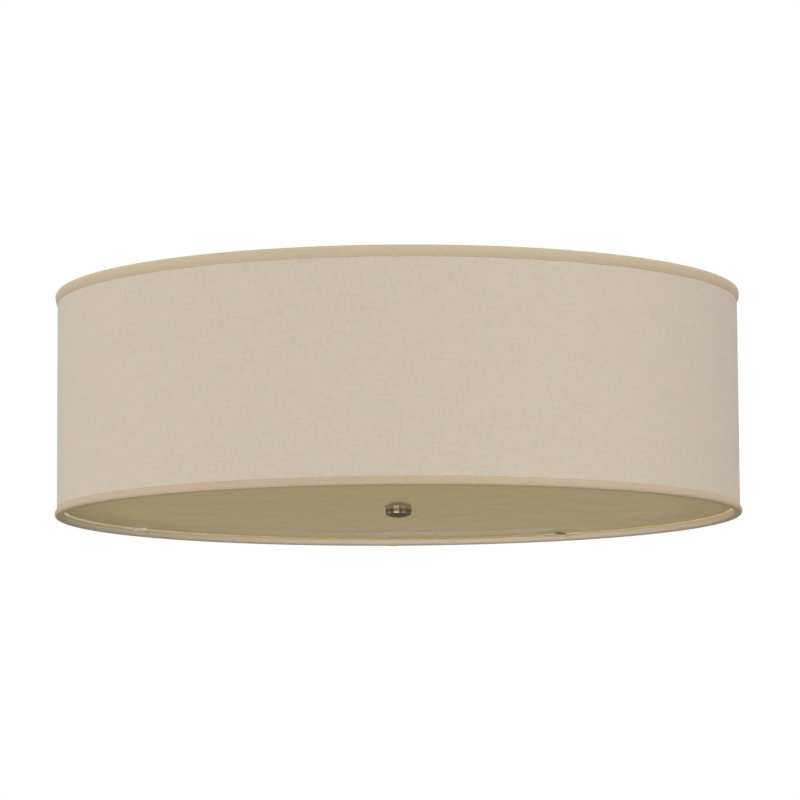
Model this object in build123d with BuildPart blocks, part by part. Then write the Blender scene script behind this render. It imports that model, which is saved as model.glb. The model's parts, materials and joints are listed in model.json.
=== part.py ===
from build123d import *
import math
import os

# ---------------------------------------------------------------------------
# Flush mount drum ceiling light, millimetres, +Z up.
# Origin: centre of the mounting strap's top face, in the ceiling plane, so the
# light hangs down from z = 0. Only the strap's lock nut and the open end of the
# upper stem stand above z = 0, inside the outlet box.
# ---------------------------------------------------------------------------

# ----- shade ---------------------------------------------------------------
SHADE_R = 381.0            # outside of the fabric, a 762 mm drum
SHADE_H = 250.0            # over both trims
CEILING_GAP = 10.0         # shade top to ceiling
Z_TOP = -CEILING_GAP
Z_BOT = Z_TOP - SHADE_H
FABRIC_T = 0.5
LINER_T = 0.8
LINER_R = SHADE_R - FABRIC_T           # outside of the liner
LINER_IN = LINER_R - LINER_T           # inside of the liner
TAPE_T = 0.8                           # trim tape over the rim
WIRE_R = 2.4                           # ring and spider wire
RING_R = LINER_IN - WIRE_R             # centre line of both rings
RING_INSET = TAPE_T + WIRE_R           # centre line of a ring from its rim
TRIM_R = 383.4                         # widest point of a trim
TOP_TRIM_H = 12.3                      # outer leg of the top trim
BOTTOM_TRIM_H = 9.8                    # outer leg of the bottom trim
TRIM_IN_H = 6.5                        # inner leg of both trims

# ----- diffuser, finial and stem ---------------------------------------------
DIFFUSER_R = 372.5
DIFFUSER_T = 3.0
Z_DIFF_LOW = Z_BOT + 8.7               # lower face of the diffuser
Z_DIFF_TOP = Z_DIFF_LOW + DIFFUSER_T
PIPE_R = 4.85                          # 1/8 IP lamp pipe, 27 threads per inch
PIPE_BORE_R = 3.2
DIFFUSER_HOLE_R = 5.4
GASKET_T = 0.8
WASHER_T = 0.8
FINIAL_R = 14.6
FINIAL_LOW = Z_DIFF_LOW - 8.65         # lowest point of the knob
FINIAL_SKIRT = Z_DIFF_LOW - 0.15       # top of the knob's skirt
FINIAL_TOP = Z_DIFF_LOW - GASKET_T - WASHER_T - 0.15   # floor of the recess in the skirt
STEM_LOW = FINIAL_TOP - 4.8            # lower end of the stem, inside the knob

# ----- turn tabs that hold the diffuser's rim ---------------------------------
TAB_ANGLES = (58.5, 145.0, 236.8, 326.8)
TAB_PIVOT_R = 375.9
TAB_W = 5.5
TAB_REACH = 16.0
TAB_T = 1.5
Z_TAB_TOP = Z_DIFF_LOW - 0.3
Z_TAB_LOW = Z_TAB_TOP - TAB_T
Z_LUG_TOP = Z_TAB_LOW - 0.2
LUG_W = 9.0

# ----- ceiling fittings ------------------------------------------------------
CANOPY_R = 66.0
CANOPY_H = 26.0
SHEET_T = 1.0
STRAP_L = 112.0
STRAP_W = 20.0
STRAP_T = 2.5
SLOT_SPACING = 88.9                    # 3.5 in outlet box screws
SLOT_L = 12.0
SLOT_W = 4.4
NUT_AF = 14.3                          # 9/16 in across flats
NUT_T = 4.0
STAR_T = 0.6

# ----- spider --------------------------------------------------------------
HUB_R = 22.0
HUB_T = 3.0
Z_HUB_TOP = -47.6
SPIDER_ANGLES = (0.0, 90.0, 180.0, 270.0)

# ----- socket cluster ---------------------------------------------------------
Z_CL = -120.0                          # axis of all four lampholders
CLUSTER_R = 32.0
CLUSTER_H = 32.0
CLUSTER_WALL = 2.0
LAMP_ANGLES = (45.0, 135.0, 225.0, 315.0)
ARM_IN = 27.0                          # arms start inside the cluster
ARM_OUT = 82.0
HOLDER_IN = 76.0
HOLDER_OUT = 126.0
TIP_S = 100.6                          # bulb's centre contact from the stem axis

os.makedirs("parts", exist_ok=True)


def save(built, name):
    built.part.label = name
    export_step(built.part, "parts/" + name + ".step")


def ring_at(r, angle, z):
    a = math.radians(angle)
    return (r * math.cos(a), r * math.sin(a), z)


def lamp_plane(angle):
    """Sketch plane with X along the lampholder's axis and Y up."""
    a = math.radians(angle)
    return Plane(
        origin=(0, 0, Z_CL),
        x_dir=(math.cos(a), math.sin(a), 0),
        z_dir=(math.sin(a), -math.cos(a), 0),
    )


def lamp_axis(angle):
    a = math.radians(angle)
    return Axis(origin=(0, 0, Z_CL), direction=(math.cos(a), math.sin(a), 0))


# ===========================================================================
# SHADE
# ===========================================================================

# Styrene liner: the stiff drum wall that carries the fabric.
with BuildPart() as shade_liner:
    with BuildSketch(Plane.XY.offset(Z_BOT + TAPE_T)):
        Circle(LINER_R)
        Circle(LINER_IN, mode=Mode.SUBTRACT)
    extrude(amount=SHADE_H - 2 * TAPE_T)
save(shade_liner, "shade_liner")

# Woven fabric laminated on the liner's outside.
with BuildPart() as shade_fabric:
    with BuildSketch(Plane.XY.offset(Z_BOT + TAPE_T)):
        Circle(SHADE_R)
        Circle(LINER_R, mode=Mode.SUBTRACT)
    extrude(amount=SHADE_H - 2 * TAPE_T)
save(shade_fabric, "shade_fabric")


CAVITY = WIRE_R + 0.05                 # the fold's inside, round the ring


def trim_points(z_rim, up, outer_h):
    """Folded tape round a rim. up is +1 for the bottom rim and -1 for the top.

    Returns the outer skin, the straight inner edge, the arc round the ring and
    the straight edges back along the rim and the outside of the fabric.
    """
    skin = (
        (SHADE_R + 0.8, outer_h), (SHADE_R + 1.9, outer_h - 3.4), (TRIM_R, 4.2),
        (TRIM_R - 0.5, 1.5), (SHADE_R + 0.3, 0.2), (RING_R + 1.5, 0.0),
        (RING_R - 1.1, 0.3), (RING_R - 2.6, 1.5), (RING_R - 3.1, 3.3),
        (RING_R - 2.95, 5.0), (RING_R - 2.1, 6.1), (RING_R - 0.5, 6.5), (LINER_IN, TRIM_IN_H),
    )
    inner = ((LINER_IN, TRIM_IN_H), (LINER_IN, TRIM_IN_H - 0.8), (RING_R, RING_INSET + CAVITY))
    arc = ((RING_R, RING_INSET + CAVITY), (RING_R - CAVITY, RING_INSET), (RING_R, RING_INSET - CAVITY))
    back = (
        (RING_R, RING_INSET - CAVITY), (LINER_IN, TAPE_T), (SHADE_R, TAPE_T),
        (SHADE_R, outer_h), (SHADE_R + 0.8, outer_h),
    )
    return [[(r, z_rim + up * d) for r, d in edge] for edge in (skin, inner, arc, back)]


def facets(curve, points, count):
    """A curve through the points as a run of short straight edges, so that the thin
    fold is made of narrow cones whose circles all match."""
    run = [curve @ (k / count) for k in range(1, count)]
    return [points[0]] + [(p.X, p.Y) for p in run] + [points[-1]]


# Bottom trim, notched on its inner side where the four lugs pass.
skin, inner, arc, back = trim_points(Z_BOT, 1, BOTTOM_TRIM_H)
with BuildPart() as bottom_trim:
    with BuildSketch(Plane.XZ):
        with BuildLine():
            Polyline(*facets(Spline(*skin, mode=Mode.PRIVATE), skin, 44))
            Polyline(*inner)
            Polyline(*facets(ThreePointArc(*arc, mode=Mode.PRIVATE), arc, 16))
            Polyline(*back)
        make_face()
    revolve(axis=Axis.Z)
    with BuildSketch(Plane.XY.offset(Z_BOT + 4.2)):
        for a in TAB_ANGLES:
            with Locations(Location(ring_at(TAB_PIVOT_R + 0.4, a, 0), (0, 0, a))):
                Rectangle(8.2, LUG_W + 2.0)
    extrude(amount=6.0, mode=Mode.SUBTRACT)
save(bottom_trim, "bottom_trim")

# Top trim, notched on its inner side where the spider's arms leave the ring.
skin, inner, arc, back = trim_points(Z_TOP, -1, TOP_TRIM_H)
with BuildPart() as top_trim:
    with BuildSketch(Plane.XZ):
        with BuildLine():
            Polyline(*facets(Spline(*skin, mode=Mode.PRIVATE), skin, 44))
            Polyline(*inner)
            Polyline(*facets(ThreePointArc(*arc, mode=Mode.PRIVATE), arc, 16))
            Polyline(*back)
        make_face()
    revolve(axis=Axis.Z)
    with BuildSketch(Plane.XY.offset(Z_TOP - 9.0)):
        for a in SPIDER_ANGLES:
            with Locations(Location(ring_at(376.0, a, 0), (0, 0, a))):
                Rectangle(7.4, 2 * WIRE_R + 1.2)
    extrude(amount=8.2, mode=Mode.SUBTRACT)
save(top_trim, "top_trim")

# Top ring: the wire hoop inside the top trim's fold.
Z_RING_TOP = Z_TOP - RING_INSET
with BuildPart() as top_ring:
    with BuildSketch(Plane.XZ):
        with Locations((RING_R, Z_RING_TOP)):
            Circle(WIRE_R)
    revolve(axis=Axis.Z)
save(top_ring, "top_ring")

# Spider: four arms and a hub plate. The arms' ends are coped to the top ring,
# where they are welded.
with BuildPart() as shade_spider:
    for a in SPIDER_ANGLES:
        arm_plane = Plane(
            origin=(0, 0, 0),
            x_dir=(math.cos(math.radians(a)), math.sin(math.radians(a)), 0),
            z_dir=(math.sin(math.radians(a)), -math.cos(math.radians(a)), 0),
        )
        with BuildLine(arm_plane) as arm_path:
            FilletPolyline(
                (RING_R, Z_RING_TOP),
                (352.0, Z_RING_TOP),
                (318.0, Z_HUB_TOP - HUB_T / 2),
                (16.0, Z_HUB_TOP - HUB_T / 2),
                radius=22.0,
            )
        with BuildSketch(
            Plane(
                origin=arm_path.line @ 0,
                z_dir=arm_path.line % 0,
            )
        ):
            Circle(WIRE_R)
        sweep(path=arm_path.line)
    with BuildSketch(Plane.XY.offset(Z_HUB_TOP - HUB_T)):
        Circle(HUB_R)
    extrude(amount=HUB_T)
    with BuildSketch(Plane.XY.offset(Z_HUB_TOP)):
        Circle(HUB_R - 6.5)
    extrude(amount=4.0, mode=Mode.SUBTRACT)
    with BuildSketch(Plane.XY.offset(Z_HUB_TOP - HUB_T - 4.0)):
        Circle(HUB_R - 6.5)
    extrude(amount=4.0, mode=Mode.SUBTRACT)
    with BuildSketch(Plane.XY.offset(Z_HUB_TOP - HUB_T - 5)):
        Circle(PIPE_R + 0.3)
    extrude(amount=HUB_T + 10, mode=Mode.SUBTRACT)
    with BuildSketch(Plane.XZ):
        with Locations((RING_R, Z_RING_TOP)):
            Circle(WIRE_R)
    revolve(axis=Axis.Z, mode=Mode.SUBTRACT)
save(shade_spider, "shade_spider")

# Bottom ring with four welded lugs for the turn tabs.
Z_RING_BOT = Z_BOT + RING_INSET
with BuildPart() as bottom_ring:
    with BuildSketch(Plane.XZ):
        with Locations((RING_R, Z_RING_BOT)):
            Circle(WIRE_R)
    revolve(axis=Axis.Z)
    with BuildSketch(Plane.XY.offset(Z_RING_BOT + 1.2)):
        for a in TAB_ANGLES:
            with Locations(Location(ring_at(TAB_PIVOT_R + 0.1, a, 0), (0, 0, a))):
                RectangleRounded(5.8, LUG_W, 1.0)
    extrude(amount=Z_LUG_TOP - (Z_RING_BOT + 1.2))
    with BuildSketch(Plane.XY.offset(Z_LUG_TOP - 2.15)):
        for a in TAB_ANGLES:
            with Locations(ring_at(TAB_PIVOT_R, a, 0)):
                Circle(1.5)
    extrude(amount=3.0, mode=Mode.SUBTRACT)
save(bottom_ring, "bottom_ring")

# Shoulder rivets: the pivots of the turn tabs.
with BuildPart() as tab_rivets:
    with BuildSketch(Plane.XY.offset(Z_LUG_TOP - 2.15)):
        for a in TAB_ANGLES:
            with Locations(ring_at(TAB_PIVOT_R, a, 0)):
                Circle(1.5)
    extrude(amount=Z_TAB_TOP + 0.1 - (Z_LUG_TOP - 2.15))
    with BuildSketch(Plane.XY.offset(Z_TAB_TOP + 0.1)):
        for a in TAB_ANGLES:
            with Locations(ring_at(TAB_PIVOT_R, a, 0)):
                Circle(2.3)
    extrude(amount=0.9, taper=30)
save(tab_rivets, "tab_rivets")

# Turn tabs: each swings on its rivet from under the diffuser to along the wall.
for number, a in enumerate(TAB_ANGLES, 1):
    ca, sa = math.cos(math.radians(a)), math.sin(math.radians(a))
    tab_plane = Plane(
        origin=(TAB_PIVOT_R * ca, TAB_PIVOT_R * sa, Z_TAB_LOW),
        x_dir=(-ca, -sa, 0),
        z_dir=(0, 0, 1),
    )
    with BuildPart() as turn_tab:
        with BuildSketch(tab_plane):
            with Locations((TAB_REACH / 2 - TAB_W / 4, 0)):
                SlotOverall(TAB_REACH + TAB_W / 2, TAB_W)
            Circle(1.55, mode=Mode.SUBTRACT)
        extrude(amount=TAB_T)
        chamfer(turn_tab.faces().sort_by(Axis.Z)[0].outer_wire().edges(), 0.3)
    save(turn_tab, "turn_tab_%d" % number)

# ===========================================================================
# DIFFUSER AND FINIAL
# ===========================================================================

with BuildPart() as diffuser_panel:
    with BuildSketch(Plane.XY.offset(Z_DIFF_LOW)):
        Circle(DIFFUSER_R)
        Circle(DIFFUSER_HOLE_R, mode=Mode.SUBTRACT)
    extrude(amount=DIFFUSER_T)
    chamfer(diffuser_panel.edges().filter_by(GeomType.CIRCLE).sort_by(SortBy.RADIUS)[-2:], 0.4)
save(diffuser_panel, "diffuser_panel")

with BuildPart() as diffuser_gasket:
    with BuildSketch(Plane.XY.offset(Z_DIFF_LOW - 0.05 - GASKET_T)):
        Circle(11.8)
        Circle(PIPE_R + 0.25, mode=Mode.SUBTRACT)
    extrude(amount=GASKET_T)
save(diffuser_gasket, "diffuser_gasket")

with BuildPart() as finial_washer:
    with BuildSketch(Plane.XY.offset(Z_DIFF_LOW - 0.05 - GASKET_T - WASHER_T)):
        Circle(12.7)
        Circle(PIPE_R + 0.25, mode=Mode.SUBTRACT)
    extrude(amount=WASHER_T)
    fillet(finial_washer.edges().filter_by(GeomType.CIRCLE).sort_by(SortBy.RADIUS)[-2:], 0.25)
save(finial_washer, "finial_washer")

# Turned finial knob: a dome with a blind threaded bore, and a skirt that closes
# over the washer and the gasket.
with BuildPart() as finial_knob:
    with BuildSketch(Plane.XZ):
        with BuildLine():
            zt, zs, zd = FINIAL_TOP, FINIAL_SKIRT, Z_DIFF_LOW
            Polyline((0, zt - 5.0), (PIPE_R + 0.05, zt - 5.0), (PIPE_R + 0.05, zt - 0.5),
                     (PIPE_R + 0.55, zt), (13.15, zt), (13.15, zs), (FINIAL_R - 0.33, zs))
            ThreePointArc((FINIAL_R - 0.33, zs), (FINIAL_R - 0.18, zs - 0.05), (FINIAL_R - 0.12, zs - 0.2))
            Spline((FINIAL_R - 0.12, zs - 0.2), (FINIAL_R, zd - 2.2), (FINIAL_R - 0.1, zd - 3.9),
                   (13.75, zd - 5.3), (12.0, zd - 6.45), (9.2, zd - 7.5), (5.6, zd - 8.3), (2.5, zd - 8.6),
                   (0, FINIAL_LOW), tangents=((0.06, -1), (-1, 0)))
            Line((0, FINIAL_LOW), (0, zt - 5.0))
        make_face()
    revolve(axis=Axis.Z)
save(finial_knob, "finial_knob")

# ===========================================================================
# CEILING FITTINGS AND STEM
# ===========================================================================

# Mounting strap for the outlet box: two slots, a centre hole and a ground hole.
with BuildPart() as mounting_strap:
    with BuildSketch(Plane.XY.offset(-STRAP_T)):
        RectangleRounded(STRAP_L, STRAP_W, 4.0)
        with Locations((SLOT_SPACING / 2, 0), (-SLOT_SPACING / 2, 0)):
            SlotOverall(SLOT_L, SLOT_W, mode=Mode.SUBTRACT)
        Circle(PIPE_R, mode=Mode.SUBTRACT)
        with Locations((22.0, 0)):
            Circle(2.4, mode=Mode.SUBTRACT)
    extrude(amount=STRAP_T)
    chamfer(mounting_strap.faces().sort_by(Axis.Z)[0].outer_wire().edges(), 0.4)
save(mounting_strap, "mounting_strap")

# Ground screw, hex washer head, driven from below.
with BuildPart() as ground_screw:
    with BuildSketch(Plane.XY.offset(-STRAP_T - 7.0)):
        with Locations((22.0, 0)):
            Circle(2.4)
    extrude(amount=7.0 + STRAP_T)
    with BuildSketch(Plane.XY.offset(-STRAP_T - 1.0)):
        with Locations((22.0, 0)):
            Circle(5.2)
    extrude(amount=1.0)
    with BuildSketch(Plane.XY.offset(-STRAP_T - 4.4)):
        with Locations((22.0, 0)):
            RegularPolygon(4.6, 6)
    extrude(amount=3.4)
    with BuildSketch(Plane.XY.offset(-STRAP_T - 7.0)):
        with Locations((22.0, 0)):
            Circle(2.4)
    extrude(amount=2.6, mode=Mode.SUBTRACT)
    with BuildSketch(Plane.XY.offset(-STRAP_T - 4.4)):
        with Locations((22.0, 0)):
            Rectangle(7.0, 1.1)
    extrude(amount=1.2, mode=Mode.SUBTRACT)
save(ground_screw, "ground_screw")

# Spun canopy: a shallow pan with a flat rim that seats on the ceiling.
with BuildPart() as ceiling_canopy:
    with BuildSketch(Plane.XZ):
        with BuildLine():
            Polyline(
                (PIPE_R + 0.35, -CANOPY_H),
                (PIPE_R + 0.35, -CANOPY_H + SHEET_T),
                (50.0, -CANOPY_H + SHEET_T),
            )
            ThreePointArc((50.0, -CANOPY_H + SHEET_T), (57.6, -CANOPY_H + 3.9), (61.0, -CANOPY_H + 11.0))
            Polyline((61.0, -CANOPY_H + 11.0), (61.8, -2.6), (62.2, 0.0), (CANOPY_R, 0.0), (CANOPY_R, -1.0),
                     (63.1, -1.6), (62.8, -2.6), (62.0, -CANOPY_H + 11.0))
            ThreePointArc((62.0, -CANOPY_H + 11.0), (58.3, -CANOPY_H + 3.2), (50.0, -CANOPY_H))
            Line((50.0, -CANOPY_H), (PIPE_R + 0.35, -CANOPY_H))
        make_face()
    revolve(axis=Axis.Z)
save(ceiling_canopy, "ceiling_canopy")

# Knurled ring that holds the canopy up on the stem.
with BuildPart() as canopy_lock_ring:
    with BuildSketch(Plane.XY.offset(-CANOPY_H - 5.0)):
        Circle(10.6)
        with PolarLocations(10.9, 36):
            Circle(0.55, mode=Mode.SUBTRACT)
        Circle(PIPE_R, mode=Mode.SUBTRACT)
    extrude(amount=5.0)
    chamfer(canopy_lock_ring.edges().filter_by(GeomType.CIRCLE).sort_by(SortBy.RADIUS)[-2:], 0.1)
save(canopy_lock_ring, "canopy_lock_ring")

Z_UPPER_END = -CLUSTER_H / 2
Z_CL_TOP = Z_CL + CLUSTER_H / 2
Z_CL_BOT = Z_CL - CLUSTER_H / 2

# Upper stem: lamp pipe from the outlet box down into the cluster.
with BuildPart() as upper_stem:
    with BuildSketch(Plane.XY.offset(Z_CL_TOP - 9.0)):
        Circle(PIPE_R)
        Circle(PIPE_BORE_R, mode=Mode.SUBTRACT)
    extrude(amount=7.0 - (Z_CL_TOP - 9.0))
    chamfer(upper_stem.edges().filter_by(GeomType.CIRCLE).sort_by(SortBy.RADIUS)[-2:], 0.4)
save(upper_stem, "upper_stem")

# Plastic bushing that keeps the pipe's edge off the supply wires.
with BuildPart() as stem_bushing:
    with BuildSketch(Plane.XY.offset(7.0)):
        Circle(5.6)
        Circle(2.6, mode=Mode.SUBTRACT)
    extrude(amount=1.4)
    with BuildSketch(Plane.XY.offset(1.0)):
        Circle(PIPE_BORE_R)
        Circle(2.6, mode=Mode.SUBTRACT)
    extrude(amount=6.0)
    fillet(stem_bushing.faces().sort_by(Axis.Z)[-1].outer_wire().edges(), 0.6)
save(stem_bushing, "stem_bushing")

# Lower stem: lamp pipe from the cluster's cover to the finial.
with BuildPart() as lower_stem:
    with BuildSketch(Plane.XY.offset(STEM_LOW)):
        Circle(PIPE_R)
        Circle(PIPE_BORE_R, mode=Mode.SUBTRACT)
    extrude(amount=(Z_CL_BOT + 7.0) - STEM_LOW)
    chamfer(lower_stem.edges().filter_by(GeomType.CIRCLE).sort_by(SortBy.RADIUS)[-2:], 0.4)
save(lower_stem, "lower_stem")

# Hex nuts on the stem, listed by the height of their lower face.
NUT_LOWS = (
    STAR_T,                                   # above the strap
    -STRAP_T - NUT_T,                         # below the strap
    Z_HUB_TOP - HUB_T - NUT_T,                # below the spider hub
    Z_CL_TOP - CLUSTER_WALL - NUT_T,          # inside the cluster, top
    Z_CL_BOT,                                 # inside the cluster, on the cover
    Z_CL_BOT - CLUSTER_WALL - NUT_T,          # below the cover
)
with BuildPart() as stem_hex_nuts:
    for low in NUT_LOWS:
        with BuildSketch(Plane.XY.offset(low)):
            RegularPolygon(NUT_AF / 2, 6, major_radius=False)
            Circle(PIPE_R, mode=Mode.SUBTRACT)
        extrude(amount=NUT_T)
    # turn the corners of each nut's two faces
    for low in NUT_LOWS:
        with BuildSketch(Plane.XZ):
            with BuildLine():
                Polyline((NUT_AF / 2, low), (NUT_AF / 2 + 2, low), (NUT_AF / 2 + 2, low + 1.0), close=True)
            make_face()
            with BuildLine():
                Polyline((NUT_AF / 2, low + NUT_T), (NUT_AF / 2 + 2, low + NUT_T),
                         (NUT_AF / 2 + 2, low + NUT_T - 1.0), close=True)
            make_face()
        revolve(axis=Axis.Z, mode=Mode.SUBTRACT)
save(stem_hex_nuts, "stem_hex_nuts")

# Thin check nut above the diffuser sets its height on the stem.
with BuildPart() as diffuser_check_nut:
    with BuildSketch(Plane.XY.offset(Z_DIFF_TOP)):
        Circle(12.0)
        Circle(PIPE_R, mode=Mode.SUBTRACT)
    extrude(amount=1.0)
    with BuildSketch(Plane.XY.offset(Z_DIFF_TOP + 1.0)):
        RegularPolygon(NUT_AF / 2, 6, major_radius=False)
        Circle(PIPE_R, mode=Mode.SUBTRACT)
    extrude(amount=3.0)
save(diffuser_check_nut, "diffuser_check_nut")

# Toothed lock washers: on the strap and on the spider hub.
with BuildPart() as lock_washers:
    for low in (0.0, Z_HUB_TOP):
        with BuildSketch(Plane.XY.offset(low)):
            Circle(8.6)
            with PolarLocations(8.9, 12):
                Rectangle(2.2, 1.5, mode=Mode.SUBTRACT)
            Circle(PIPE_R + 0.25, mode=Mode.SUBTRACT)
        extrude(amount=STAR_T)
save(lock_washers, "lock_washers")

# Tube sleeves that cover the pipe's thread.
SLEEVES = (
    ("upper_sleeve", -CANOPY_H - 5.0, Z_HUB_TOP + STAR_T),
    ("middle_sleeve", Z_HUB_TOP - HUB_T - NUT_T, Z_CL_TOP),
    ("lower_sleeve", Z_CL_BOT - CLUSTER_WALL - NUT_T, Z_DIFF_TOP + 4.0),
)
for name, high, low in SLEEVES:
    with BuildPart() as sleeve:
        with BuildSketch(Plane.XY.offset(low)):
            Circle(6.35)
            Circle(PIPE_R + 0.4, mode=Mode.SUBTRACT)
        extrude(amount=high - low)
    save(sleeve, name)

# ===========================================================================
# SOCKET CLUSTER
# ===========================================================================

with BuildPart() as cluster_body:
    with BuildSketch(Plane.XZ):
        with BuildLine():
            Polyline((0, Z_CL_BOT), (CLUSTER_R, Z_CL_BOT), (CLUSTER_R, Z_CL_TOP - 5.0))
            ThreePointArc((CLUSTER_R, Z_CL_TOP - 5.0), (CLUSTER_R - 1.5, Z_CL_TOP - 1.5), (CLUSTER_R - 5.0, Z_CL_TOP))
            Polyline((CLUSTER_R - 5.0, Z_CL_TOP), (0, Z_CL_TOP), (0, Z_CL_BOT))
        make_face()
    revolve(axis=Axis.Z)
    with BuildSketch(Plane.XZ):
        with BuildLine():
            Polyline((0, Z_CL_BOT), (CLUSTER_R - CLUSTER_WALL, Z_CL_BOT),
                     (CLUSTER_R - CLUSTER_WALL, Z_CL_TOP - 5.0),
                     (CLUSTER_R - 5.0, Z_CL_TOP - CLUSTER_WALL), (0, Z_CL_TOP - CLUSTER_WALL), close=True)
        make_face()
    revolve(axis=Axis.Z, mode=Mode.SUBTRACT)
    with BuildSketch(Plane.XY.offset(Z_CL_TOP - 5)):
        Circle(PIPE_R)
    extrude(amount=10, mode=Mode.SUBTRACT)
    for a in LAMP_ANGLES:
        with BuildSketch(
            Plane(origin=ring_at(20.0, a, Z_CL), z_dir=ring_at(1.0, a, 0))
        ):
            Circle(PIPE_R)
        extrude(amount=20, mode=Mode.SUBTRACT)
save(cluster_body, "cluster_body")

with BuildPart() as cluster_cover:
    with BuildSketch(Plane.XY.offset(Z_CL_BOT - CLUSTER_WALL)):
        Circle(CLUSTER_R)
        Circle(PIPE_R, mode=Mode.SUBTRACT)
    extrude(amount=CLUSTER_WALL)
    fillet(cluster_cover.faces().sort_by(Axis.Z)[0].outer_wire().edges(), 1.2)
save(cluster_cover, "cluster_cover")

# Four pipe arms that carry the lampholders.
with BuildPart() as socket_arms:
    for a in LAMP_ANGLES:
        with BuildSketch(lamp_plane(a)):
            with Locations(((ARM_IN + ARM_OUT) / 2, (PIPE_R + PIPE_BORE_R) / 2)):
                Rectangle(ARM_OUT - ARM_IN, PIPE_R - PIPE_BORE_R)
        revolve(axis=lamp_axis(a))
save(socket_arms, "socket_arms")

# Flange nuts that clamp the arms to the cluster's wall, one outside each hole.
with BuildPart() as arm_nuts:
    for a in LAMP_ANGLES:
        with BuildSketch(
            Plane(origin=ring_at(CLUSTER_R + 0.4, a, Z_CL), x_dir=(0, 0, 1), z_dir=ring_at(1.0, a, 0))
        ):
            RegularPolygon(NUT_AF / 2, 6, major_radius=False)
            Circle(PIPE_R, mode=Mode.SUBTRACT)
        extrude(amount=NUT_T)
save(arm_nuts, "arm_nuts")

# Screw base rings, drawn as grooves: shared by the bulb base and its shell.
PITCH = 3.629
GROOVE_S0 = TIP_S + 6.4


def groove_points(root, crest):
    points = []
    for k in range(5):
        s = GROOVE_S0 + k * PITCH
        points += [(s, root), (s + 1.0, root + (crest - root) * 0.75), (s + 1.8145, crest),
                   (s + 2.629, root + (crest - root) * 0.75)]
    points.append((GROOVE_S0 + 5 * PITCH, root))
    return points


for number, a in enumerate(LAMP_ANGLES, 1):
    # Phenolic lampholder: cap and skirt moulded as one.
    with BuildPart() as lampholder:
        with BuildSketch(lamp_plane(a)):
            with BuildLine():
                Polyline(
                    (HOLDER_IN, PIPE_R), (HOLDER_IN, 8.6), (HOLDER_IN + 3.0, 9.4),
                    (HOLDER_IN + 6.0, 11.0),
                )
                ThreePointArc((HOLDER_IN + 6.0, 11.0), (HOLDER_IN + 12.0, 17.2), (HOLDER_IN + 19.0, 19.6))
                Polyline(
                    (HOLDER_IN + 19.0, 19.6), (HOLDER_OUT - 13.0, 19.6), (HOLDER_OUT - 12.4, 18.9),
                    (HOLDER_OUT - 1.0, 18.9), (HOLDER_OUT, 18.2), (HOLDER_OUT, 16.2),
                    (HOLDER_IN + 21.0, 15.6), (HOLDER_IN + 21.0, 3.4), (ARM_OUT, 3.4), (ARM_OUT, PIPE_R),
                    (HOLDER_IN, PIPE_R),
                )
            make_face()
        revolve(axis=lamp_axis(a))
        with BuildSketch(
            Plane(origin=ring_at(ARM_OUT - 1.0, a, Z_CL), z_dir=ring_at(1.0, a, 0), x_dir=(0, 0, 1))
        ):
            with Locations((0, 6.5), (0, -6.5)):
                Circle(1.35)
        extrude(amount=18.0, mode=Mode.SUBTRACT)
    save(lampholder, "lampholder_%d" % number)

    # Threaded metal shell riveted to the lampholder's floor.
    inner = groove_points(12.35, 13.2)
    outer = [(s, r + 0.45) for s, r in inner]
    with BuildPart() as screw_shell:
        with BuildSketch(lamp_plane(a)):
            with BuildLine():
                Polyline(
                    (HOLDER_IN + 21.0, 6.6), (HOLDER_IN + 21.6, 6.6), (HOLDER_IN + 21.6, 11.6),
                    (GROOVE_S0 - 2.0, 12.35), *inner, (HOLDER_OUT - 0.4, 12.9),
                    (HOLDER_OUT - 0.4, 13.35), *reversed(outer), (GROOVE_S0 - 2.4, 12.8),
                    (HOLDER_IN + 21.0, 12.1), close=True,
                )
            make_face()
        revolve(axis=lamp_axis(a))
    save(screw_shell, "screw_shell_%d" % number)

    # Bulb, screw base: nickel shell with its contact tip.
    with BuildPart() as bulb_base:
        with BuildSketch(lamp_plane(a)):
            with BuildLine():
                Polyline(
                    (TIP_S - 0.6, 0), (TIP_S - 0.6, 3.0), (TIP_S + 0.4, 4.6), (TIP_S + 1.2, 4.8),
                    (TIP_S + 4.2, 10.2), (TIP_S + 5.0, 12.0), *groove_points(12.1, 12.95),
                    (TIP_S + 26.0, 12.3), (TIP_S + 27.0, 12.9), (TIP_S + 27.0, 0), close=True,
                )
            make_face()
        revolve(axis=lamp_axis(a))
    save(bulb_base, "bulb_%d_base" % number)

    # Bulb, white plastic body between the base and the dome.
    with BuildPart() as bulb_body:
        with BuildSketch(lamp_plane(a)):
            with BuildLine():
                Line((TIP_S + 27.0, 0), (TIP_S + 27.0, 13.6))
                Spline((TIP_S + 27.0, 13.6), (TIP_S + 36.0, 15.2), (TIP_S + 47.0, 20.4), (TIP_S + 58.0, 25.6))
                Polyline((TIP_S + 58.0, 25.6), (TIP_S + 60.0, 25.6), (TIP_S + 60.0, 0), (TIP_S + 27.0, 0))
            make_face()
        revolve(axis=lamp_axis(a))
    save(bulb_body, "bulb_%d_body" % number)

    # Bulb, frosted dome.
    with BuildPart() as bulb_dome:
        with BuildSketch(lamp_plane(a)):
            with BuildLine():
                Line((TIP_S + 60.0, 0), (TIP_S + 60.0, 25.2))
                Spline(
                    (TIP_S + 60.0, 25.2), (TIP_S + 68.0, 28.8), (TIP_S + 78.0, 29.9), (TIP_S + 90.0, 26.6),
                    (TIP_S + 101.0, 17.0), (TIP_S + 107.0, 0), tangents=((0.85, 0.52), (0, -1)),
                )
                Line((TIP_S + 107.0, 0), (TIP_S + 60.0, 0))
            make_face()
        revolve(axis=lamp_axis(a))
    save(bulb_dome, "bulb_%d_dome" % number)

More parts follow.
